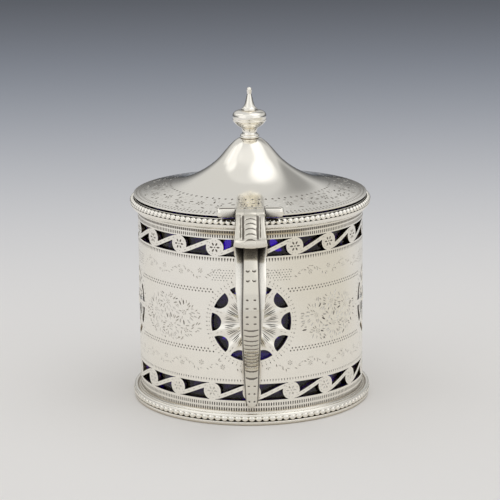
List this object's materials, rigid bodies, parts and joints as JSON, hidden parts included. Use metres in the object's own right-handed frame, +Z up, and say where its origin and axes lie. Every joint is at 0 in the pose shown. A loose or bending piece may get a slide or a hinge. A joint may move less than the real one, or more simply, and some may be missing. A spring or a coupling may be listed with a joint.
{
  "type": "mustard pot",
  "caption": "Silver drum mustard pot with pierced friezes and paterae, hinged ogee lid with urn finial, scroll handle and loose cobalt glass liner.",
  "frame": {"origin": "on the drum's axis, in the plane of the foot's resting face", "axes": "+Z up along the drum's axis, handle and hinge on the -Y side, hinge axis along X"},
  "size_m": [0.0662, 0.0861, 0.0861],
  "materials": {
    "silver": "polished silver",
    "engraved_silver": "polished silver, bright-cut engraved",
    "cobalt_glass": "smooth cobalt blue glass"
  },
  "bodies": {
    "pot": {"foot_moulding": "silver", "foot_beads": "silver", "base_disc": "silver", "drum_wall": "engraved_silver", "rim_moulding": "silver", "rim_beads": "silver", "glass_liner": "cobalt_glass", "handle_scroll": "silver", "handle_strap": "silver"},
    "lid": {"lid_dome": "engraved_silver", "lid_lug_left": "silver", "lid_lug_right": "silver", "hinge_pin": "silver", "finial_collar": "silver", "finial": "silver", "finial_nut": "silver"}
  },
  "joints": [
    {"name": "lid_hinge", "type": "hinge", "parent": "pot", "child": "lid", "pos_m": [0, -0.0342, 0.0587], "axis": [1, 0, 0], "range_deg": [0, 105]}
  ]
}
